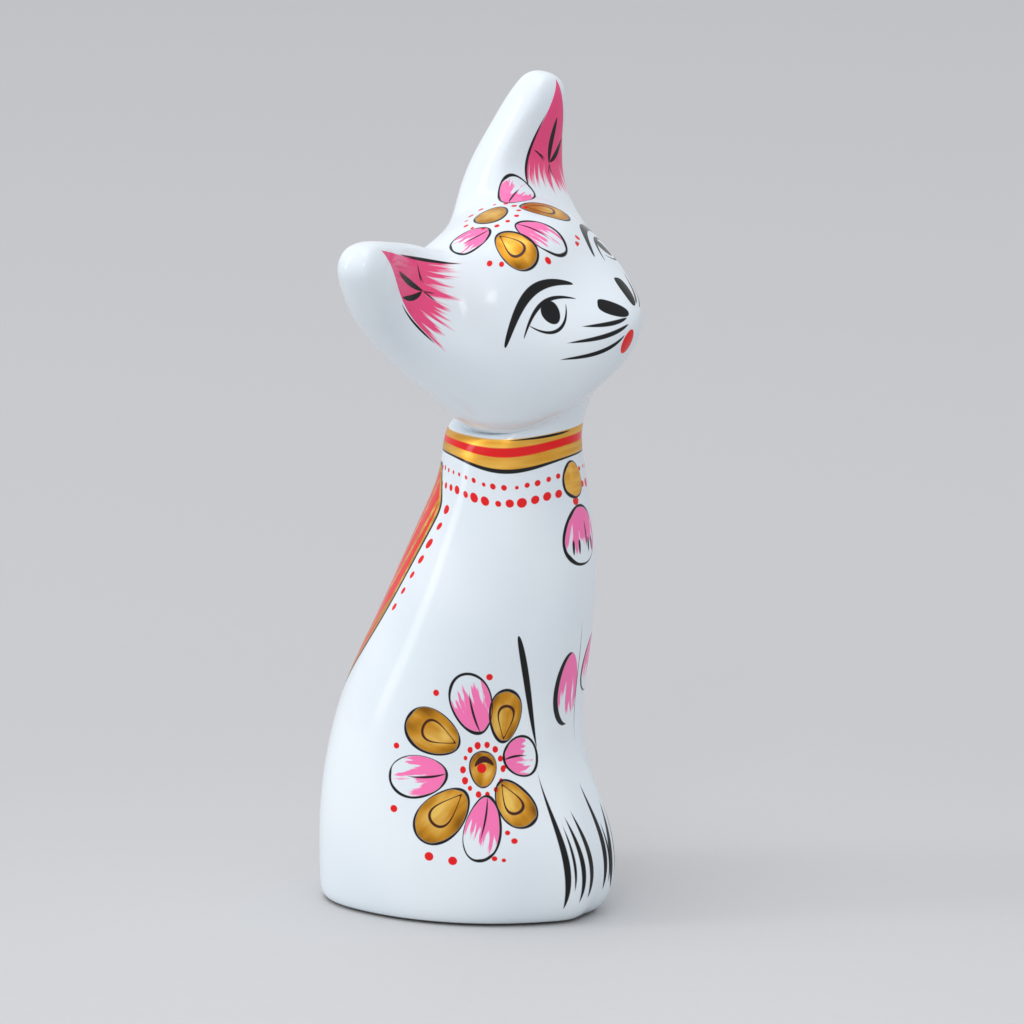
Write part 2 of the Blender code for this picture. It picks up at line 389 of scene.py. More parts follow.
brush_tree, given, result = new_group(
    "Brush stroke",
    {
        "Place": "Vector",
        "Half width": "Float",
        "Bow": "Float",
        "Heavy": "Float",
        "Taper": "Float",
        "Edge": "Float",
    },
    {"Paint": "Float"},
)
spot = add(brush_tree, SPLIT, (given.outputs["Place"],))
along = add(brush_tree, MATH, (spot.outputs["X"], 0.0), operation="ADD", use_clamp=True)
weighted = add(brush_tree, MATH, (along, given.outputs["Heavy"]), operation="POWER")
left = add(brush_tree, MATH, (1.0, weighted), operation="SUBTRACT")
slope = add(brush_tree, MATH, (weighted, left), operation="MULTIPLY")
hill = add(brush_tree, MATH, (slope, 4.0), operation="MULTIPLY")
middle = add(brush_tree, MATH, (hill, given.outputs["Bow"]), operation="MULTIPLY")
aside = add(brush_tree, MATH, (spot.outputs["Y"], middle), operation="SUBTRACT")
off = add(brush_tree, MATH, (aside,), operation="ABSOLUTE")
swell = add(brush_tree, MATH, (hill, given.outputs["Taper"]), operation="POWER")
reach = add(brush_tree, MATH, (swell, given.outputs["Half width"]), operation="MULTIPLY")
room = add(brush_tree, MATH, (reach, off), operation="SUBTRACT")
paint = add(
    brush_tree, MATH, (room, given.outputs["Edge"]), operation="DIVIDE", use_clamp=True
)
brush_tree.links.new(paint.outputs[0], result.inputs["Paint"])


def stroke(tree, chart, start, end, width, bow=0.0, heavy=1.0, taper=0.6):
    """The paint of one stroke on a chart, in millimetres. It bows to its own left."""
    start = Vector(start)
    run = Vector(end) - start
    place = add(
        tree,
        MAPPING,
        {
            "Vector": chart,
            "Location": (start.x, start.y, 0),
            "Rotation": (0, 0, math.atan2(run.y, run.x)),
            "Scale": (run.length, run.length, 1),
        },
        vector_type="TEXTURE",
    )
    shape = {
        "Place": place,
        "Half width": width / 2 / run.length,
        "Bow": bow / run.length,
        "Heavy": heavy,
        "Taper": taper,
        "Edge": PAINT_EDGE / run.length,
    }
    return add(tree, GROUP, shape, node_tree=brush_tree)


print("a stroke takes", len(brush_tree.nodes) - 2, "nodes")

# %% [markdown]
# ## A petal
#
# Each petal is egg-shaped, narrow at the flower's middle, and has an ink outline that is
# thicker on one side, because the brush was leaned on there. A pink petal is pulled from
# its root in streaks that run out into white, and has one dark vein. A gold one is filled
# in, with painted shade that darkens its rim and painted highlights that brighten it in
# patches, and has a thin dark loop. The group works all of it out, on a petal that is 2
# long and 2 wide, and a petal takes what it needs.

# %% Node group for a petal
EGG_WIDENING = 0.16
PRESSURE_SCALE = 1.2
LINE_THINNEST = 0.55
LINE_THICKEST = 1.35
STREAKS_ALONG = 1.1
STREAKS_ACROSS = 4.5
SEED_STEP = 7.0
PINK_REACH = 0.38
PINK_RAGGED = 2.6
PINK_SHARPNESS = 5.0
VEIN_START = (-0.95, 0.05)
VEIN_LENGTH = 1.35
VEIN_SHAPE = {"Half width": 0.055, "Bow": -0.08, "Heavy": 0.8, "Taper": 0.8, "Edge": 0.025}
LOOP_MIDDLE = (-0.22, 0.06)
LOOP_SHARE = 0.50
LOOP_LENGTHENING = 1.15
LOOP_NARROWING = 0.8
LOOP_TAPER = 0.65
LOOP_WIDTH_MM = 0.36
# Painted shade and highlights on the gold: how dark its rim, how light inside, and how patchy
SHEEN_AT_RIM = 0.30
SHEEN_INSIDE = 0.66
SHEEN_FULL_DEPTH = 0.55
SHEEN_PATCHES = 1.3
SHEEN_STREAKS = 0.35
SHEEN_LEAST = 0.04

petal_tree, given, result = new_group(
    "Petal",
    {"Place": "Vector", "Size": "Float", "Line": "Float", "Lean": "Float", "Seed": "Float"},
    {
        "Outline": "Float",
        "Inside": "Float",
        "Pink": "Float",
        "Vein": "Float",
        "Loop": "Float",
        "Painted sheen": "Float",
    },
)
spot = add(petal_tree, SPLIT, (given.outputs["Place"],))
along = spot.outputs["X"]
widen = add(petal_tree, MATH, (along, EGG_WIDENING, 1.0), operation="MULTIPLY_ADD")
across = add(petal_tree, MATH, (spot.outputs["Y"], widen), operation="DIVIDE")
egg = add(petal_tree, JOIN, (along, across, 0.0))
reach = add(petal_tree, VECTOR_MATH, (egg,), operation="LENGTH").outputs["Value"]
room = add(petal_tree, MATH, (1.0, reach), operation="SUBTRACT")
depth = add(petal_tree, MATH, (room, given.outputs["Size"]), operation="MULTIPLY")
whole = add(petal_tree, MATH, (depth, PAINT_EDGE), operation="DIVIDE", use_clamp=True)

wander = add(petal_tree, JOIN, (along, across, given.outputs["Seed"]))
pressure = add(petal_tree, NOISE, {"Vector": wander, "Scale": PRESSURE_SCALE, "Detail": 1.0})
pressed = add(petal_tree, RAMP, (pressure, 0.3, 0.7, LINE_THINNEST, LINE_THICKEST))
line = add(petal_tree, MATH, (pressed, given.outputs["Line"]), operation="MULTIPLY")
leaned = add(petal_tree, MATH, (across, given.outputs["Lean"]), operation="SUBTRACT")
inner_egg = add(petal_tree, JOIN, (along, leaned, 0.0))
inner_reach = add(petal_tree, VECTOR_MATH, (inner_egg,), operation="LENGTH").outputs["Value"]
inner_room = add(petal_tree, MATH, (1.0, inner_reach), operation="SUBTRACT")
inner_depth = add(
    petal_tree, MATH, (inner_room, given.outputs["Size"]), operation="MULTIPLY"
)
within = add(petal_tree, MATH, (inner_depth, line), operation="SUBTRACT")
filled = add(petal_tree, MATH, (within, PAINT_EDGE), operation="DIVIDE", use_clamp=True)
inside = add(petal_tree, MATH, (filled, whole), operation="MINIMUM")
outline = add(petal_tree, MATH, (whole, inside), operation="SUBTRACT")

pulled = add(
    petal_tree,
    MAPPING,
    {"Vector": wander, "Scale": (STREAKS_ALONG, STREAKS_ACROSS, SEED_STEP)},
)
streaks = add(petal_tree, NOISE, {"Vector": pulled, "Scale": 1.0, "Detail": 2.0})
ragged = add(petal_tree, MATH, (streaks, 0.5), operation="SUBTRACT")
limit = add(petal_tree, MATH, (ragged, PINK_RAGGED, PINK_REACH), operation="MULTIPLY_ADD")
short = add(petal_tree, MATH, (limit, along), operation="SUBTRACT")
pink = add(petal_tree, MATH, (short, PINK_SHARPNESS), operation="MULTIPLY", use_clamp=True)
pink = add(petal_tree, MATH, (pink, inside), operation="MULTIPLY")

vein_place = add(
    petal_tree,
    MAPPING,
    {
        "Vector": egg,
        "Location": (*VEIN_START, 0),
        "Scale": (VEIN_LENGTH, VEIN_LENGTH, 1),
    },
    vector_type="TEXTURE",
)
vein = add(petal_tree, GROUP, {"Place": vein_place, **VEIN_SHAPE}, node_tree=brush_tree)

loop_egg = add(
    petal_tree,
    MAPPING,
    {
        "Vector": egg,
        "Location": (*LOOP_MIDDLE, 0),
        "Scale": (LOOP_SHARE * LOOP_LENGTHENING, LOOP_SHARE * LOOP_NARROWING, 1),
    },
    vector_type="TEXTURE",
)
loop_spot = add(petal_tree, SPLIT, (loop_egg,))
taper = add(
    petal_tree, MATH, (loop_spot.outputs["X"], LOOP_TAPER, 1.0), operation="MULTIPLY_ADD"
)
loop_side = add(petal_tree, MATH, (loop_spot.outputs["Y"], taper), operation="DIVIDE")
loop_egg = add(petal_tree, JOIN, (loop_spot.outputs["X"], loop_side, 0.0))
loop_reach = add(petal_tree, VECTOR_MATH, (loop_egg,), operation="LENGTH").outputs["Value"]
loop_off = add(petal_tree, MATH, (loop_reach, 1.0), operation="SUBTRACT")
loop_off = add(petal_tree, MATH, (loop_off,), operation="ABSOLUTE")
loop_off = add(petal_tree, MATH, (loop_off, given.outputs["Size"]), operation="MULTIPLY")
loop_room = add(
    petal_tree,
    MATH,
    (loop_off, -LOOP_SHARE, LOOP_WIDTH_MM / 2 + PAINT_EDGE / 2),
    operation="MULTIPLY_ADD",
)
loop = add(petal_tree, MATH, (loop_room, PAINT_EDGE), operation="DIVIDE", use_clamp=True)

# Painted sheen on a gold petal: painted shade at its rim, painted highlights inside and in patches
glint = add(petal_tree, RAMP, (room, 0.0, SHEEN_FULL_DEPTH, SHEEN_AT_RIM, SHEEN_INSIDE))
soft = add(petal_tree, MATH, (pressure, 0.5), operation="SUBTRACT")
shimmer = add(petal_tree, MATH, (soft, SHEEN_PATCHES, glint), operation="MULTIPLY_ADD")
shimmer = add(petal_tree, MATH, (ragged, SHEEN_STREAKS, shimmer), operation="MULTIPLY_ADD")
shimmer = add(petal_tree, MATH, (shimmer, SHEEN_LEAST), operation="MAXIMUM", use_clamp=True)
painted_sheen = add(petal_tree, MATH, (shimmer, inside), operation="MULTIPLY")
for name, value in {
    "Outline": outline,
    "Inside": inside,
    "Pink": pink,
    "Vein": vein,
    "Loop": loop,
    "Painted sheen": painted_sheen,
}.items():
    petal_tree.links.new(value.outputs[0], result.inputs[name])


def petal(tree, chart, middle, bearing, half_length, half_width, line=0.40, lean=0.03):
    """A petal on a chart. Bearing is the way from its root to its tip, in degrees."""
    place = add(
        tree,
        MAPPING,
        {
            "Vector": chart,
            "Location": (middle[0], middle[1], 0),
            "Rotation": (0, 0, math.radians(bearing)),
            "Scale": (half_length, half_width, 1),
        },
        vector_type="TEXTURE",
    )
    shape = {
        "Place": place,
        "Size": math.sqrt(half_length * half_width),
        "Line": line,
        "Lean": lean,
        "Seed": middle[0] + middle[1],
    }
    return add(tree, GROUP, shape, node_tree=petal_tree)


print("a petal takes", len(petal_tree.nodes) - 2, "nodes")

# %% [markdown]
# ## Dots
#
# The red dots were set down one by one with the brush's tip, so no two are quite the same
# size or quite in line. A row of them repeats one dot along a line, and gives each its own
# small offset and size. A ring is a row bent round a point.

# %% Node group for a row of dots
DOT_WANDER = 0.16
DOT_UNEVEN = 0.45

dots_tree, given, result = new_group(
    "Row of dots",
    {
        "Along": "Float",
        "Across": "Float",
        "Spacing": "Float",
        "Radius": "Float",
        "Seed": "Float",
    },
    {"Paint": "Float"},
)
count = add(
    dots_tree, MATH, (given.outputs["Along"], given.outputs["Spacing"]), operation="DIVIDE"
)
number = add(dots_tree, MATH, (count,), operation="ROUND")
part = add(dots_tree, MATH, (count, number), operation="SUBTRACT")
near = add(dots_tree, MATH, (part, given.outputs["Spacing"]), operation="MULTIPLY")
chance_of = add(dots_tree, MATH, (number, given.outputs["Seed"]), operation="ADD")
chance = add(
    dots_tree, "ShaderNodeTexWhiteNoise", {"W": chance_of}, noise_dimensions="1D"
)
either_way = (chance.outputs["Color"], (0.5, 0.5, 0.5))
nudge = add(dots_tree, VECTOR_MATH, either_way, operation="SUBTRACT")
nudge = add(dots_tree, VECTOR_MATH, {0: nudge, "Scale": DOT_WANDER * 2}, operation="SCALE")
spot = add(dots_tree, JOIN, (near, given.outputs["Across"], 0.0))
moved = add(dots_tree, VECTOR_MATH, (spot, nudge), operation="ADD")
moved = add(dots_tree, VECTOR_MATH, (moved, (1, 1, 0)), operation="MULTIPLY")
off = add(dots_tree, VECTOR_MATH, (moved,), operation="LENGTH").outputs["Value"]
uneven = add(
    dots_tree,
    MATH,
    (chance.outputs["Value"], DOT_UNEVEN, 1 - DOT_UNEVEN / 2),
    operation="MULTIPLY_ADD",
)
size = add(dots_tree, MATH, (given.outputs["Radius"], uneven), operation="MULTIPLY")
room = add(dots_tree, MATH, (size, off), operation="SUBTRACT")
paint = add(dots_tree, MATH, (room, PAINT_EDGE), operation="DIVIDE", use_clamp=True)
dots_tree.links.new(paint.outputs[0], result.inputs["Paint"])


def dot_ring(tree, chart, middle, count, ring_radius, dot_radius, seed):
    """Dots in a ring on a chart."""
    offset = add(tree, VECTOR_MATH, (chart, (*middle, 0)), operation="SUBTRACT")
    spot = add(tree, SPLIT, (offset,))
    angle = add(tree, MATH, (spot.outputs["Y"], spot.outputs["X"]), operation="ARCTAN2")
    along = add(tree, MATH, (angle, ring_radius), operation="MULTIPLY")
    away = add(tree, VECTOR_MATH, (offset,), operation="LENGTH").outputs["Value"]
    across = add(tree, MATH, (away, ring_radius), operation="SUBTRACT")
    spacing = 2 * math.pi * ring_radius / count
    return add(
        tree,
        GROUP,
        {"Along": along, "Across": across, "Spacing": spacing, "Radius": dot_radius, "Seed": seed},
        node_tree=dots_tree,
    )


def dot(tree, chart, middle, radius):
    """One round dot on a chart."""
    away = add(tree, VECTOR_MATH, (chart, (*middle, 0)), operation="DISTANCE")
    return add(
        tree, RAMP, (away.outputs["Value"], radius + PAINT_EDGE / 2, radius - PAINT_EDGE / 2)
    )


def polar(middle, bearing, distance):
    """The point at a bearing in degrees and a distance from another."""
    turn = math.radians(bearing)
    return (middle[0] + distance * math.cos(turn), middle[1] + distance * math.sin(turn))


print("dots vary by", round(DOT_UNEVEN * 100), "percent")

# %% [markdown]
# ## White enamel under fired colours
#
# Enamel is ground glass melted onto metal. It is glossy and slightly wavy, with a bluish
# white body, and the colours are thin coats of coloured glass and gold on top, each laid
# where the one before has dried: pink, gold, dark brown, red, then ink. Each material
# below is that same enamel with the paint of one area, because a short list of strokes is
# quick to work out. The areas meet on plain white, or on paint that both of them hold.

# %% The enamel's build-up
WHITE = linear("#e6edf2")
WHITE_COOL = linear("#dde6ec")
PINK = linear("#f776b2")
PINK_DEEP = linear("#ea4b80")
# Dark and light gold are the gold's painted shade and painted highlight; mid is its own colour
GOLD_PAINTED_SHADE = linear("#80500f")
GOLD_MID = linear("#d4932a")
GOLD_PAINTED_HIGHLIGHT = linear("#f8cb66")
BROWN = linear("#3d120c")
RED = linear("#e31013")
INK = linear("#08090c")
# Colour of the painted shadow along the foot, where the cat meets the floor
FOOT_SHADOW_COLOUR = linear("#3c3b3a")
ENAMEL_IOR = 1.5
ENAMEL_SPECULAR = 0.30
ENAMEL_ROUGHNESS = 0.10
GOLD_ROUGHNESS = 0.22
GOLD_METALLIC = 0.75
# Where the painted sheen turns from painted shade to the gold's own colour, and on to painted
# highlight
GOLD_TURNS_MID = 0.5
GOLD_TURNS_HIGHLIGHT = 0.95
WAVE_MM = 9.0
WAVE_DEPTH = 0.00010
WAVE_STRENGTH = 0.6
CLOUD_MM = 25.0
# How high the painted shadow along the foot reaches, and how soft its edge is
FOOT_SHADOW_HEIGHT = 0.0005
FOOT_EDGE = 0.0002
ORDER = ("pink", "deep pink", "gold", "brown", "red", "ink")


class Coat:
    """All the paint of one colour. Each new mask is laid over what is there."""

    def __init__(self, tree):
        self.tree = tree
        self.mask = None

    def lay(self, mask):
        if self.mask is not None:
            mask = add(self.tree, MATH, (self.mask, mask), operation="MAXIMUM")
        self.mask = mask


def new_masks(tree):
    """A coat for every colour, with nothing on it yet, and one for the gold's painted sheen, its
    painted shade and highlights.
    """
    return {coat: Coat(tree) for coat in ("painted_sheen", *ORDER)}


def painted_enamel(name, painter=None):
    """White enamel with one area's paint. The painter gives masks by colour."""
    material = bpy.data.materials.new(name)
    material.use_nodes = True
    tree = material.node_tree
    shader = tree.nodes["Principled BSDF"]
    shader.inputs["IOR"].default_value = ENAMEL_IOR
    shader.inputs["Specular IOR Level"].default_value = ENAMEL_SPECULAR
    place = add(tree, COORDINATES).outputs["Object"]
    cloud = add(tree, NOISE, {"Vector": place, "Scale": 1000 / CLOUD_MM, "Detail": 1.0})
    clouded = add(tree, RAMP, (cloud, 0.35, 0.65))
    colour = add(tree, MIX_COLOUR, (clouded, WHITE, WHITE_COOL))
    masks = new_masks(tree)
    if painter:
        painter(tree, masks)
    # The gold's painted sheen: painted shade and highlights mixed into its colour
    painted_sheen = masks["painted_sheen"].mask
    gold = GOLD_MID
    if painted_sheen is not None:
        low = add(tree, RAMP, (painted_sheen, 0.0, GOLD_TURNS_MID))
        high = add(tree, RAMP, (painted_sheen, GOLD_TURNS_MID, GOLD_TURNS_HIGHLIGHT))
        gold = add(tree, MIX_COLOUR, (low, GOLD_PAINTED_SHADE, GOLD_MID))
        gold = add(tree, MIX_COLOUR, (high, gold, GOLD_PAINTED_HIGHLIGHT))
    colours = dict(zip(ORDER, (PINK, PINK_DEEP, gold, BROWN, RED, INK)))
    coats = {coat: masks[coat].mask for coat in ORDER if masks[coat].mask is not None}
    for coat, mask in coats.items():
        colour = add(tree, MIX_COLOUR, (mask, colour, colours[coat]))
    # A dark rim along the foot: painted shadow where the cat meets the floor
    foot = add(tree, SPLIT, (place,)).outputs["Z"]
    foot_shadow = add(tree, RAMP, (foot, FOOT_SHADOW_HEIGHT + FOOT_EDGE, FOOT_SHADOW_HEIGHT))
    colour = add(tree, MIX_COLOUR, (foot_shadow, colour, FOOT_SHADOW_COLOUR))
    tree.links.new(colour.outputs[0], shader.inputs["Base Color"])

    wave = add(tree, NOISE, {"Vector": place, "Scale": 1000 / WAVE_MM, "Detail": 0.0})
    rough = add(tree, RAMP, (cloud, 0.3, 0.7, ENAMEL_ROUGHNESS, ENAMEL_ROUGHNESS * 1.5))
    if "gold" in coats:
        over = Coat(tree)
        for coat in ORDER[ORDER.index("gold") + 1 :]:
            if coat in coats:
                over.lay(coats[coat])
        left = add(tree, MATH, (1.0, over.mask), operation="SUBTRACT", use_clamp=True)
        bright = add(tree, MATH, (coats["gold"], left), operation="MULTIPLY")
        metal = add(tree, MATH, (bright, GOLD_METALLIC), operation="MULTIPLY")
        tree.links.new(metal.outputs[0], shader.inputs["Metallic"])
        rough = add(tree, MATH, (bright, GOLD_ROUGHNESS, rough), operation="MULTIPLY_ADD")
    tree.links.new(rough.outputs[0], shader.inputs["Roughness"])
    bump = add(
        tree,
        "ShaderNodeBump",
        {"Strength": WAVE_STRENGTH, "Distance": WAVE_DEPTH, "Height": wave},
    )
    tree.links.new(bump.outputs[0], shader.inputs["Normal"])
    print(name, "has", len(tree.nodes), "nodes")
    return material


print("the paint goes on in this order:", ", ".join(ORDER))

# %% [markdown]
# ## The flower on the hip
#
# Eight petals, pink and gold in turn, stand round a gold boss with a red and dark spot.
# Small dots ring the boss and larger ones sit between the petals' tips. The petals were
# painted by eye and differ, so each has its own line of values.

# %% Petals, boss and dots of the hip flower
HIP_MIDDLE = (17.9, 28.8)
HIP_PETALS = (
    # bearing and distance of its middle, bearing of its tip, half length, half width, kind
    (80, 12.0, 73, 5.9, 4.0, "pink"),
    (113, 10.4, 95, 5.1, 3.0, "gold"),
    (163, 7.2, 171, 3.3, 3.8, "pink"),
    (-131, 8.0, -117, 4.7, 3.1, "gold"),
    (-89, 10.4, -80, 6.1, 3.2, "pink"),
    (-49, 11.0, -47, 6.2, 4.0, "gold"),
    (-8, 12.0, -8, 5.6, 3.9, "pink"),
    (34, 11.4, 24, 5.7, 4.1, "gold"),
)
HIP_DOTS = (
    # bearing, distance, radius
    (94, 16.8, 0.60),
    (57, 16.2, 0.58),
    (12, 16.6, 0.55),
    (-26, 17.9, 0.65),
    (-59, 18.4, 0.80),
    (-72, 17.1, 0.78),
    (-96, 15.7, 0.45),
    (-101, 16.2, 0.35),
    (-111, 13.4, 0.50),
    (-109, 11.7, 0.42),
)
# Middle, bearing of the tip, half length, half width, line, lean
HIP_BOSS = (HIP_MIDDLE, 90, 3.4, 2.6, 0.28, 0.03)
# Start and end, width, bow, heavy, taper
BOSS_ARCH = ((19.4, 29.4), (15.9, 29.6), 1.3, -1.1, 1.0, 0.3)
BOSS_SPOT = ((18.1, 29.0), 0.85)
# How many dots, the ring's and the dots' radius, seed
HIP_RING = (14, 4.3, 0.62, 3.0)
RING_SQUEEZE = (0.86, 1.02, 1.0)


def paint_flower(tree, chart, middle, petals, masks):
    """Adds a flower's petals to the masks."""
    for bearing, distance, tip, half_length, half_width, kind in petals:
        at = polar(middle, bearing, distance)
        made = petal(tree, chart, at, tip, half_length, half_width)
        masks["ink"].lay(made.outputs["Outline"])
        if kind == "pink":
            masks["pink"].lay(made.outputs["Pink"])
            masks["ink"].lay(made.outputs["Vein"])
        else:
            masks["gold"].lay(made.outputs["Inside"])
            masks["painted_sheen"].lay(made.outputs["Painted sheen"])
            masks["brown"].lay(made.outputs["Loop"])


def paint_gold(tree, chart, shape, edge, masks):
    """Adds a gold egg with its painted sheen of shade and highlights, and a thin dark edge."""
    made = petal(tree, chart, *shape)
    masks["gold"].lay(made.outputs["Inside"])
    masks["painted_sheen"].lay(made.outputs["Painted sheen"])
    masks[edge].lay(made.outputs["Outline"])
    return made


def paint_dots(tree, chart, middle, dots, masks):
    """Adds single red dots round a flower's middle."""
    for bearing, distance, radius in dots:
        masks["red"].lay(dot(tree, chart, polar(middle, bearing, distance), radius))


def hip_paint(tree, chart, masks):
    """The hip flower's paint."""
    paint_flower(tree, chart, HIP_MIDDLE, HIP_PETALS, masks)
    paint_gold(tree, chart, HIP_BOSS, "brown", masks)
    masks["brown"].lay(stroke(tree, chart, *BOSS_ARCH))
    masks["red"].lay(dot(tree, chart, *BOSS_SPOT))
    squeezed = add(tree, VECTOR_MATH, (chart, RING_SQUEEZE), operation="DIVIDE")
    middle = (HIP_MIDDLE[0] / RING_SQUEEZE[0], HIP_MIDDLE[1] / RING_SQUEEZE[1])
    masks["red"].lay(dot_ring(tree, squeezed, middle, *HIP_RING))
    paint_dots(tree, chart, HIP_MIDDLE, HIP_DOTS, masks)


print("hip flower:", len(HIP_PETALS), "petals and", len(HIP_DOTS), "loose dots")

# %% [markdown]
# ## Legs and paws
#
# The body is one block, and the brush makes its legs: a long stroke down the front of the
# haunch, one between the forelegs, and quick tapering strokes for the claws. A pink drop
# with a heavy dark edge marks each foreleg.

# %% Strokes of the legs and paws
LEG_STROKES = (
    # start and end on the folded body chart, width, bow, heavy
    ((11.9, 53.0), (7.9, 32.0), 1.25, -0.10, 0.63),
    ((8.2, 28.5), (5.9, 3.2), 1.00, -0.60, 1.60),
    ((5.9, 18.9), (4.9, 6.5), 0.50, -0.30, 1.20),
    ((5.3, 20.2), (4.0, 4.2), 0.80, -0.70, 1.20),
    ((4.0, 21.0), (2.8, 4.9), 1.00, -0.85, 1.30),
)
MIDDLE_STROKES = (
    # start and end on the open body chart, width, bow, heavy
    ((0.6, 24.8), (0.8, 5.3), 1.00, 0.40, 1.30),
    ((1.8, 17.6), (1.8, 6.3), 0.50, 0.20, 1.10),
    ((0.3, 54.8), (2.3, 31.0), 0.30, 0.20, 1.00),
)
DROPS = (
    # middle on the open body chart, bearing, half length, half width, line, lean
    ((-1.6, 42.0), -88, 6.9, 3.3, 0.15, 0.30),
    ((5.4, 45.5), -92, 5.4, 2.9, 0.15, 0.12),
)


def strokes_paint(tree, chart, marks, masks):
    """A list of ink strokes on one chart."""
    for mark in marks:
        masks["ink"].lay(stroke(tree, chart, *mark))


def flank_painter(tree, masks):
    """The paint of the flanks, legs and paws."""
    folded = body_chart(tree, folded=True)
    hip_paint(tree, folded, masks)
    strokes_paint(tree, folded, LEG_STROKES, masks)
    chart = body_chart(tree, folded=False)
    strokes_paint(tree, chart, MIDDLE_STROKES, masks)
    for shape in DROPS:
        drop = petal(tree, chart, *shape)
        masks["pink"].lay(drop.outputs["Pink"])
        masks["ink"].lay(drop.outputs["Outline"])


flank_enamel = painted_enamel("Painted enamel of the flanks and paws", flank_painter)

# %% [markdown]
# ## Collar, beads and pendant
#
# The collar is a band of gold with a red stripe and an ink line under it that is thickest
# at the cat's right side, where it hangs lowest. Two rows of red dots are its beads. A
# gold drop and a pink tassel hang from it at the chest.

# %% Collar and beads
COLLAR_TOP = 87.4
COLLAR_BOTTOM = 84.0
# A hump's middle round the neck, how narrow it is, and how steep
THROAT = (3.0, 1.6, 2.0)
THROAT_RISE = 1.3
SAG = (-13.4, 1.5, 5.0)
SAG_DEPTH = 1.9
# The stripe's low and high edge, and every edge's softness, as shares of the collar
STRIPE = (0.42, 0.72)
COLLAR_SOFTNESS = 0.04
# Scale of the collar's brushed streaks, and how dark and light its painted sheen runs along them
COLLAR_BRUSHED = (0.10, 0.7, 1.0)
COLLAR_SHEEN = (0.45, 0.85)
UNDERLINE_HALF = 0.22
UNDERLINE_SWELL = 0.22
UNDERLINE_DROP = 0.15
COLLAR_TOP_LINE = ((-13.5, 87.2), (0.0, 88.3), 0.60, 0.0, 1.50)
# Height, spacing and radius of each row of beads
BEADS = ((81.1, 1.95, 0.50), (78.3, 2.15, 0.76))
BEADS_SEED = 10.0


def hump(tree, around, middle, narrow, power):
    """A smooth hump round the neck that is 1 at its middle."""
    turn = add(tree, MATH, (around, middle), operation="SUBTRACT")
    turn = add(tree, MATH, (turn, narrow / BODY_CHART_RADIUS), operation="MULTIPLY")
    turn = add(tree, MATH, (turn, math.pi / 2), operation="MINIMUM")
    turn = add(tree, MATH, (turn, -math.pi / 2), operation="MAXIMUM")
    wave = add(tree, MATH, (turn,), operation="COSINE", use_clamp=True)
    return add(tree, MATH, (wave, power), operation="POWER")


def between(tree, value, low, high, edge):
    """1 between two values, with soft ends."""
    rise = add(tree, RAMP, (value, low - edge / 2, low + edge / 2))
    fall = add(tree, RAMP, (value, high + edge / 2, high - edge / 2))
    return add(tree, MATH, (rise, fall), operation="MULTIPLY")


def collar_paint(tree, chart, masks, covered):
    """The collar and the two rows of beads, which stop where they are covered."""
    spot = add(tree, SPLIT, (chart,))
    around = spot.outputs["X"]
    up = spot.outputs["Y"]
    sag = hump(tree, around, *SAG)
    throat = hump(tree, around, *THROAT)
    top = add(tree, MATH, (throat, THROAT_RISE, COLLAR_TOP), operation="MULTIPLY_ADD")
    bottom = add(tree, MATH, (sag, -SAG_DEPTH, COLLAR_BOTTOM), operation="MULTIPLY_ADD")
    height = add(tree, MATH, (top, bottom), operation="SUBTRACT")
    above = add(tree, MATH, (up, bottom), operation="SUBTRACT")
    share = add(tree, MATH, (above, height), operation="DIVIDE")
    masks["gold"].lay(between(tree, share, 0.0, 1.0, COLLAR_SOFTNESS))
    # Painted sheen on the gold band: lighter and darker along brushed streaks
    brushed = add(tree, MAPPING, {"Vector": chart, "Scale": COLLAR_BRUSHED})
    streaks = add(tree, NOISE, {"Vector": brushed, "Scale": 1.0, "Detail": 1.0})
    masks["painted_sheen"].lay(add(tree, RAMP, (streaks, 0.25, 0.75, *COLLAR_SHEEN)))
    masks["red"].lay(between(tree, share, *STRIPE, COLLAR_SOFTNESS))
    swell = (sag, UNDERLINE_SWELL, UNDERLINE_HALF)
    ink_width = add(tree, MATH, swell, operation="MULTIPLY_ADD")
    under = add(tree, MATH, (above, UNDERLINE_DROP), operation="ADD")
    under = add(tree, MATH, (under,), operation="ABSOLUTE")
    room = add(tree, MATH, (ink_width, under), operation="SUBTRACT")
    masks["ink"].lay(
        add(tree, MATH, (room, PAINT_EDGE), operation="DIVIDE", use_clamp=True)
    )
    masks["ink"].lay(stroke(tree, chart, *COLLAR_TOP_LINE))
    for number, (height_mm, spacing, radius) in enumerate(BEADS):
        line = add(tree, MATH, (sag, -SAG_DEPTH, height_mm), operation="MULTIPLY_ADD")
        across = add(tree, MATH, (up, line), operation="SUBTRACT")
        row = {
            "Along": around,
            "Across": across,
            "Spacing": spacing,
            "Radius": radius,
            "Seed": BEADS_SEED + number,
        }
        beads = add(tree, GROUP, row, node_tree=dots_tree)
        masks["red"].lay(
            add(tree, MATH, (beads, covered), operation="SUBTRACT", use_clamp=True)
        )


print("collar from", COLLAR_BOTTOM - SAG_DEPTH, "to", COLLAR_TOP + THROAT_RISE, "mm up")

# %% Pendant
# Middle, bearing of the tip, half length, half width, line, lean
PENDANT_DROP = ((-0.6, 79.7), -90, 3.4, 2.7, 0.35, 0.08)
PENDANT_TASSEL = ((-0.2, 69.8), -92, 5.5, 4.3, 0.42, 0.06)
PENDANT_BEAD = ((-0.7, 75.9), 0.75)
TASSEL_FOLD = ((0.9, 72.3), (1.2, 67.2), 0.45)
TASSEL_TEETH = (-2.3, -0.9, 1.7, 2.8)
TEETH_TOP = 69.2
TEETH_BOTTOM = 66.4
TOOTH_WIDTH = 0.66


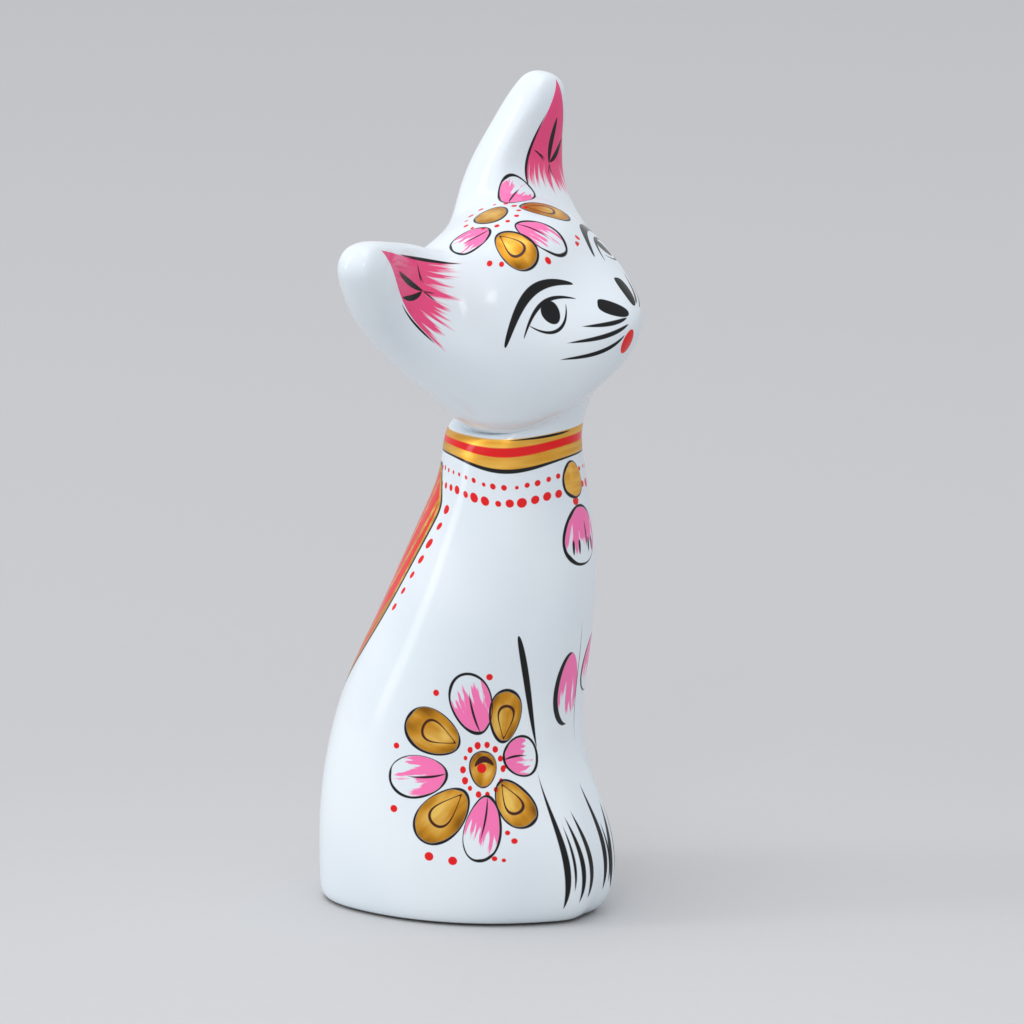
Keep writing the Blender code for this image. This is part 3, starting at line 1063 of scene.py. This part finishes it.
def pendant_paint(tree, chart, masks):
    """The gold drop, the small bead and the tassel. Returns where the drop lies."""
    drop = paint_gold(tree, chart, PENDANT_DROP, "ink", masks)
    tassel = petal(tree, chart, *PENDANT_TASSEL)
    masks["pink"].lay(tassel.outputs["Pink"])
    masks["ink"].lay(tassel.outputs["Outline"])
    masks["ink"].lay(stroke(tree, chart, *TASSEL_FOLD))
    for across in TASSEL_TEETH:
        top = (across, TEETH_TOP)
        bottom = (across, TEETH_BOTTOM)
        masks["ink"].lay(stroke(tree, chart, top, bottom, TOOTH_WIDTH, heavy=0.8))
    masks["red"].lay(dot(tree, chart, *PENDANT_BEAD))
    shape = (drop.outputs["Inside"], drop.outputs["Outline"])
    return add(tree, MATH, shape, operation="MAXIMUM")


print("tassel teeth:", len(TASSEL_TEETH))

# %% [markdown]
# ## The cloth on the back
#
# A red cloth edged with gold hangs from the beads down the back and ends in a point. Its
# edge is an ink line with a row of dots beside it. Only that edge shows in the picture, so
# the middle is kept plain: brushed red with thin gold bars.

# %% Cloth and its dots
# The cloth is widest at its shoulder and draws in above and below it
CLOTH_TOP = 81.8
CLOTH_SHOULDER = 75.0
CLOTH_START = 28.5
CLOTH_SPREAD = 0.84
CLOTH_LEAN = -0.10
CLOTH_BEND = 2.0
CLOTH_CURVE = -0.006
CLOTH_INK = 0.75
CLOTH_BORDER = 1.8
CLOTH_INNERMOST = 60.0
CLOTH_BRUSHED = (0.9, 0.25, 1.0)
BAR_MM = 5.5
BAR_WAVER = 1.2
BAR_FROM = 1.25
BAR_FULL = 1.45
# Spacing and radius of the dots, and their distance from the edge
CLOTH_DOTS = (3.1, 0.85, 2.3)
CLOTH_DOTS_FROM = 53.5
CLOTH_DOTS_TO = 76.0
CLOTH_DOTS_SEED = 21.0


def cloth_paint(tree, folded, masks):
    """The back cloth, its border and the dots beside it. Returns where the cloth lies."""
    spot = add(tree, SPLIT, (folded,))
    around = spot.outputs["X"]
    up = spot.outputs["Y"]
    risen = add(tree, MATH, (up, CLOTH_SHOULDER), operation="SUBTRACT")
    bend = add(tree, MATH, (risen, risen, CLOTH_BEND**2), operation="MULTIPLY_ADD")
    bend = add(tree, MATH, (bend,), operation="SQRT")
    widest = CLOTH_START - CLOTH_SPREAD * CLOTH_BEND
    edge = add(tree, MATH, (bend, CLOTH_SPREAD, widest), operation="MULTIPLY_ADD")
    edge = add(tree, MATH, (risen, CLOTH_LEAN, edge), operation="MULTIPLY_ADD")
    fallen = add(tree, MATH, (risen, 0.0), operation="MINIMUM")
    curve = add(tree, MATH, (fallen, CLOTH_CURVE), operation="MULTIPLY")
    edge = add(tree, MATH, (curve, fallen, edge), operation="MULTIPLY_ADD")
    within = add(tree, MATH, (around, edge), operation="SUBTRACT")
    below = add(tree, MATH, (CLOTH_TOP, up), operation="SUBTRACT")
    depth = add(tree, MATH, (within, below), operation="MINIMUM")
    masks["ink"].lay(between(tree, depth, 0.0, CLOTH_INK, PAINT_EDGE))
    masks["gold"].lay(between(tree, depth, CLOTH_INK, CLOTH_INNERMOST, PAINT_EDGE))
    brushed = add(tree, MAPPING, {"Vector": folded, "Scale": CLOTH_BRUSHED})
    streaks = add(tree, NOISE, {"Vector": brushed, "Scale": 1.0, "Detail": 3.0})
    bars = add(tree, MATH, (up, around), operation="ADD")
    bars = add(tree, MATH, (bars, 2 * math.pi / BAR_MM), operation="MULTIPLY")
    bars = add(tree, MATH, (bars,), operation="SINE")
    bars = add(tree, MATH, (streaks, BAR_WAVER, bars), operation="MULTIPLY_ADD")
    plain = add(tree, RAMP, (bars, BAR_FULL, BAR_FROM))
    field = between(tree, depth, CLOTH_BORDER, CLOTH_INNERMOST, PAINT_EDGE)
    masks["red"].lay(add(tree, MATH, (field, plain), operation="MULTIPLY"))
    spacing, radius, gap = CLOTH_DOTS
    beside = add(tree, MATH, (within, gap), operation="ADD")
    row = {
        "Along": up,
        "Across": beside,
        "Spacing": spacing,
        "Radius": radius,
        "Seed": CLOTH_DOTS_SEED,
    }
    dots = add(tree, GROUP, row, node_tree=dots_tree)
    span = between(tree, up, CLOTH_DOTS_FROM, CLOTH_DOTS_TO, PAINT_EDGE)
    masks["red"].lay(add(tree, MATH, (dots, span), operation="MULTIPLY"))
    return add(tree, RAMP, (depth, -PAINT_EDGE, 0.0))


def neck_painter(tree, masks):
    """The paint of the collar, the pendant and the cloth's upper part."""
    chart = body_chart(tree, folded=False)
    drop = pendant_paint(tree, chart, masks)
    cloth = cloth_paint(tree, body_chart(tree, folded=True), masks)
    covered = add(tree, MATH, (drop, cloth), operation="MAXIMUM")
    collar_paint(tree, chart, masks, covered)


def back_painter(tree, masks):
    """The paint of the cloth's lower part."""
    cloth_paint(tree, body_chart(tree, folded=True), masks)


neck_enamel = painted_enamel("Painted enamel of the collar", neck_painter)
back_enamel = painted_enamel("Painted enamel of the back cloth", back_painter)

# %% [markdown]
# ## The face
#
# A heavy brow hooks round each eye, whose lids are two bowed strokes round a black pupil.
# Two slanting ovals are the nostrils, three whiskers fan out from the muzzle, and a small
# red tongue hangs at the mouth.

# %% Strokes of the face
# Start and end on the folded face chart, width, bow, heavy, taper
BROW = ((22.0, 3.9), (4.6, 7.0), 1.85, -4.40, 1.05, 0.30)
UPPER_LID = ((18.5, 3.9), (6.3, 5.0), 0.85, -2.95, 1.00, 0.35)
LOWER_LID = ((16.7, 5.4), (8.7, 5.3), 0.70, 2.75, 1.00, 0.30)
NOSTRIL = ((3.6, 2.5), (0.3, -1.8), 2.6, 0.0, 0.70, 0.40)
WHISKERS = (
    ((8.9, 1.3), (1.2, -2.0), 0.88, 0.25, 1.50, 0.50),
    ((12.4, 0.1), (1.6, -3.0), 0.92, 0.40, 1.40, 0.50),
    ((14.6, -2.0), (3.2, -4.1), 0.92, 0.90, 1.30, 0.50),
)
# Middle, bearing, half length, half width, no line, no lean
PUPIL = ((12.1, 5.5), 90, 2.0, 1.75, 0.0, 0.0)
TONGUE = ((-3.1, -5.7), 215, 2.2, 1.5, 0.0, 0.0)


def face_painter(tree, masks):
    """The paint of the face."""
    chart = face_chart(tree)
    marks = (BROW, UPPER_LID, LOWER_LID, NOSTRIL, *WHISKERS)
    strokes_paint(tree, chart, marks, masks)
    masks["ink"].lay(petal(tree, chart, *PUPIL).outputs["Inside"])
    spot = add(tree, SPLIT, (head_chart(tree),))
    front = add(tree, JOIN, (spot.outputs["X"], spot.outputs["Z"], 0.0))
    masks["red"].lay(petal(tree, front, *TONGUE).outputs["Inside"])


face_enamel = painted_enamel("Painted enamel of the face", face_painter)

# %% [markdown]
# ## The flower on the forehead
#
# Five petals fan out in front of a gold middle between the ears. It lies across the top of
# the head, so its chart is a flat sheet tilted over the forehead.

# %% Forehead flower
CROWN_SLOPE = math.radians(28)
CROWN_MIDDLE = (0.1, 2.9)
CROWN_LIFT = 20.0
CROWN_PETALS = (
    # bearing and distance of its middle, bearing of its tip, half length, half width, kind
    (-4, 9.0, -12, 4.2, 3.3, "pink"),
    (45, 9.5, 58, 4.6, 3.2, "gold"),
    (96, 10.7, 84, 5.0, 3.0, "pink"),
    (126, 10.9, 104, 4.6, 3.2, "gold"),
    (177, 7.6, 216, 3.8, 3.2, "pink"),
)
CROWN_DOTS = (
    # bearing, distance, radius
    (42, 5.9, 0.60),
    (70, 15.2, 0.45),
    (76, 15.8, 0.60),
    (108, 15.0, 0.55),
    (150, 12.8, 0.50),
    (141, 13.2, 0.45),
)
CROWN_RING = (13, 4.6, 0.48, 5.0)
CROWN_BOSS = (CROWN_MIDDLE, 180, 3.4, 3.0, 0.35, 0.03)


def crown_paint(tree, masks):
    """The paint of the forehead flower."""
    spot = add(tree, SPLIT, (head_chart(tree),))
    level = add(
        tree, MATH, (spot.outputs["Y"], -math.cos(CROWN_SLOPE)), operation="MULTIPLY"
    )
    drop = add(tree, MATH, (spot.outputs["Z"], CROWN_LIFT), operation="SUBTRACT")
    down = add(tree, MATH, (drop, -math.sin(CROWN_SLOPE), level), operation="MULTIPLY_ADD")
    chart = add(tree, JOIN, (spot.outputs["X"], down, 0.0))
    paint_flower(tree, chart, CROWN_MIDDLE, CROWN_PETALS, masks)
    paint_gold(tree, chart, CROWN_BOSS, "ink", masks)
    masks["red"].lay(dot_ring(tree, chart, CROWN_MIDDLE, *CROWN_RING))
    paint_dots(tree, chart, CROWN_MIDDLE, CROWN_DOTS, masks)


print("forehead flower:", len(CROWN_PETALS), "petals")

# %% [markdown]
# ## The ears
#
# Inside each ear a deep pink fan is pulled from the tip toward the head and runs out in
# ragged streaks. Ink lines edge it, and a few short strokes stand for the hair.

# %% Ear fans
FAN_TIP = (41.6, -3.3)
FAN_INNER = 0.24
FAN_OUTER = -0.54
FAN_LENGTH = 19.0
FAN_RAGGED = 13.0
FAN_STREAKS = 24.0
FAN_STREAK_LENGTH = 10.0
FAN_FADE = 0.45
FAN_SOFTNESS = 0.01
NEAREST_TIP = 0.01
FRONT_FROM = -0.18
FRONT_SOFTNESS = 0.08
EAR_STROKES = (
    # start and end on the ear chart, width, bow, heavy
    ((35.5, -1.7), (21.6, 1.2), 0.75, -0.25, 1.30),
    ((31.8, -9.2), (22.6, -13.6), 0.50, 0.0, 1.00),
    ((35.0, -4.7), (27.0, -5.4), 1.30, 0.0, 1.00),
    ((32.0, -8.3), (27.2, -5.5), 1.20, 0.60, 1.20),
    ((28.9, -0.9), (27.1, -4.0), 0.45, 0.30, 1.00),
    ((28.6, -1.8), (27.6, -4.2), 0.35, 0.10, 1.00),
    ((27.4, -5.2), (24.4, -6.5), 0.40, 0.0, 1.00),
    ((27.0, -5.4), (24.8, -5.2), 0.35, 0.0, 1.00),
)


def ear_paint(tree, masks):
    """The paint of the ears' inner sides."""
    chart = ear_chart(tree)
    spot = add(tree, SPLIT, (chart,))
    out = add(tree, MATH, (FAN_TIP[0], spot.outputs["X"]), operation="SUBTRACT")
    out = add(tree, MATH, (out, NEAREST_TIP), operation="MAXIMUM")
    aside = add(tree, MATH, (spot.outputs["Y"], FAN_TIP[1]), operation="SUBTRACT")
    ray = add(tree, MATH, (aside, out), operation="DIVIDE")
    fan = between(tree, ray, FAN_OUTER, FAN_INNER, FAN_SOFTNESS)
    pulled = add(tree, MATH, (ray, FAN_STREAKS), operation="MULTIPLY")
    faint = add(tree, MATH, (out, 1 / FAN_STREAK_LENGTH), operation="MULTIPLY")
    streak_place = add(tree, JOIN, (pulled, faint, 0.0))
    streaks = add(tree, NOISE, {"Vector": streak_place, "Scale": 1.0, "Detail": 2.0})
    uneven = add(tree, MATH, (streaks, 0.5), operation="SUBTRACT")
    limit = add(tree, MATH, (uneven, FAN_RAGGED, FAN_LENGTH), operation="MULTIPLY_ADD")
    short = add(tree, MATH, (limit, out), operation="SUBTRACT")
    short = add(tree, MATH, (short, FAN_FADE), operation="MULTIPLY", use_clamp=True)
    facing = add(tree, "ShaderNodeNewGeometry").outputs["Normal"]
    forward = head_turn @ Vector((0, -1, 0))
    front = add(tree, VECTOR_MATH, (facing, forward), operation="DOT_PRODUCT")
    facing_front = (front.outputs["Value"], FRONT_FROM, FRONT_FROM + FRONT_SOFTNESS)
    inner = add(tree, RAMP, facing_front)
    pink = add(tree, MATH, (fan, short), operation="MULTIPLY")
    pink = add(tree, MATH, (pink, inner), operation="MULTIPLY")
    masks["deep pink"].lay(pink)
    for mark in EAR_STROKES:
        line = stroke(tree, chart, *mark)
        masks["ink"].lay(add(tree, MATH, (line, inner), operation="MULTIPLY"))


def top_painter(tree, masks):
    """The paint of the ears and the forehead, which meet, and the top of the brow."""
    ear_paint(tree, masks)
    crown_paint(tree, masks)
    strokes_paint(tree, face_chart(tree), (BROW,), masks)


top_enamel = painted_enamel("Painted enamel of the ears and forehead", top_painter)
plain_enamel = painted_enamel("Plain white enamel")

# %% [markdown]
# ## Give each area its paint
#
# Every face of the net gets the material of the area that it lies in. The borders run
# through plain white, or through the cloth and the brow, which the materials on both
# sides paint alike.

# %% Sort the faces into areas
EAR_FROM = 18.0
CROWN_FROM = 8.8
CROWN_RISE = 0.28
BEHIND_HEAD = 9.0
HEAD_FROM = 0.0905
NECK_FROM = 0.058
BACK_FROM = 40.0
AREAS = [plain_enamel, flank_enamel, neck_enamel, back_enamel, face_enamel, top_enamel]


def area_of(point):
    """The material of the area that a point of the cat lies in."""
    head = head_place(point)
    ear = Vector((abs(head.x), 0, head.z)).dot(EAR_ALONG)
    around = BODY_CHART_RADIUS * math.atan2(abs(point.x), -point.y)
    if point.z > HEAD_FROM:
        if head.y > BEHIND_HEAD:
            return plain_enamel
        crown = head.z - CROWN_RISE * abs(head.x)
        return top_enamel if ear > EAR_FROM or crown > CROWN_FROM else face_enamel
    if point.z > NECK_FROM:
        return neck_enamel
    return back_enamel if around > BACK_FROM else flank_enamel


for face in bm.faces:
    face.material_index = AREAS.index(area_of(face.calc_center_median()))
counts = [sum(face.material_index == i for face in bm.faces) for i in range(len(AREAS))]
print("faces in each area:", counts)

# %% Finish the piece
mesh = bpy.data.meshes.new("painted_cat")
bm.to_mesh(mesh)
bm.free()
cat = bpy.data.objects.new("painted_cat", mesh)
bpy.context.scene.collection.objects.link(cat)
for material in AREAS:
    mesh.materials.append(material)
smooth = cat.modifiers.new("Smooth form", "SUBSURF")
smooth.levels = SMOOTH_LEVELS
smooth.render_levels = SMOOTH_LEVELS
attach(cat, "root")
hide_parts("cat_figurine")
print("the cat's net has", len(mesh.polygons), "faces")

# %% Gather the sizes of the shape and of the painted cat
sizes = {
    "cad": [list(corner) for corner in cad_box],
    "visual": [list(corner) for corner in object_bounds()],
}
low, high = (Vector(corner) for corner in sizes["visual"])
print("visual size in mm:", [round(side / MILLIMETRE, 1) for side in high - low])
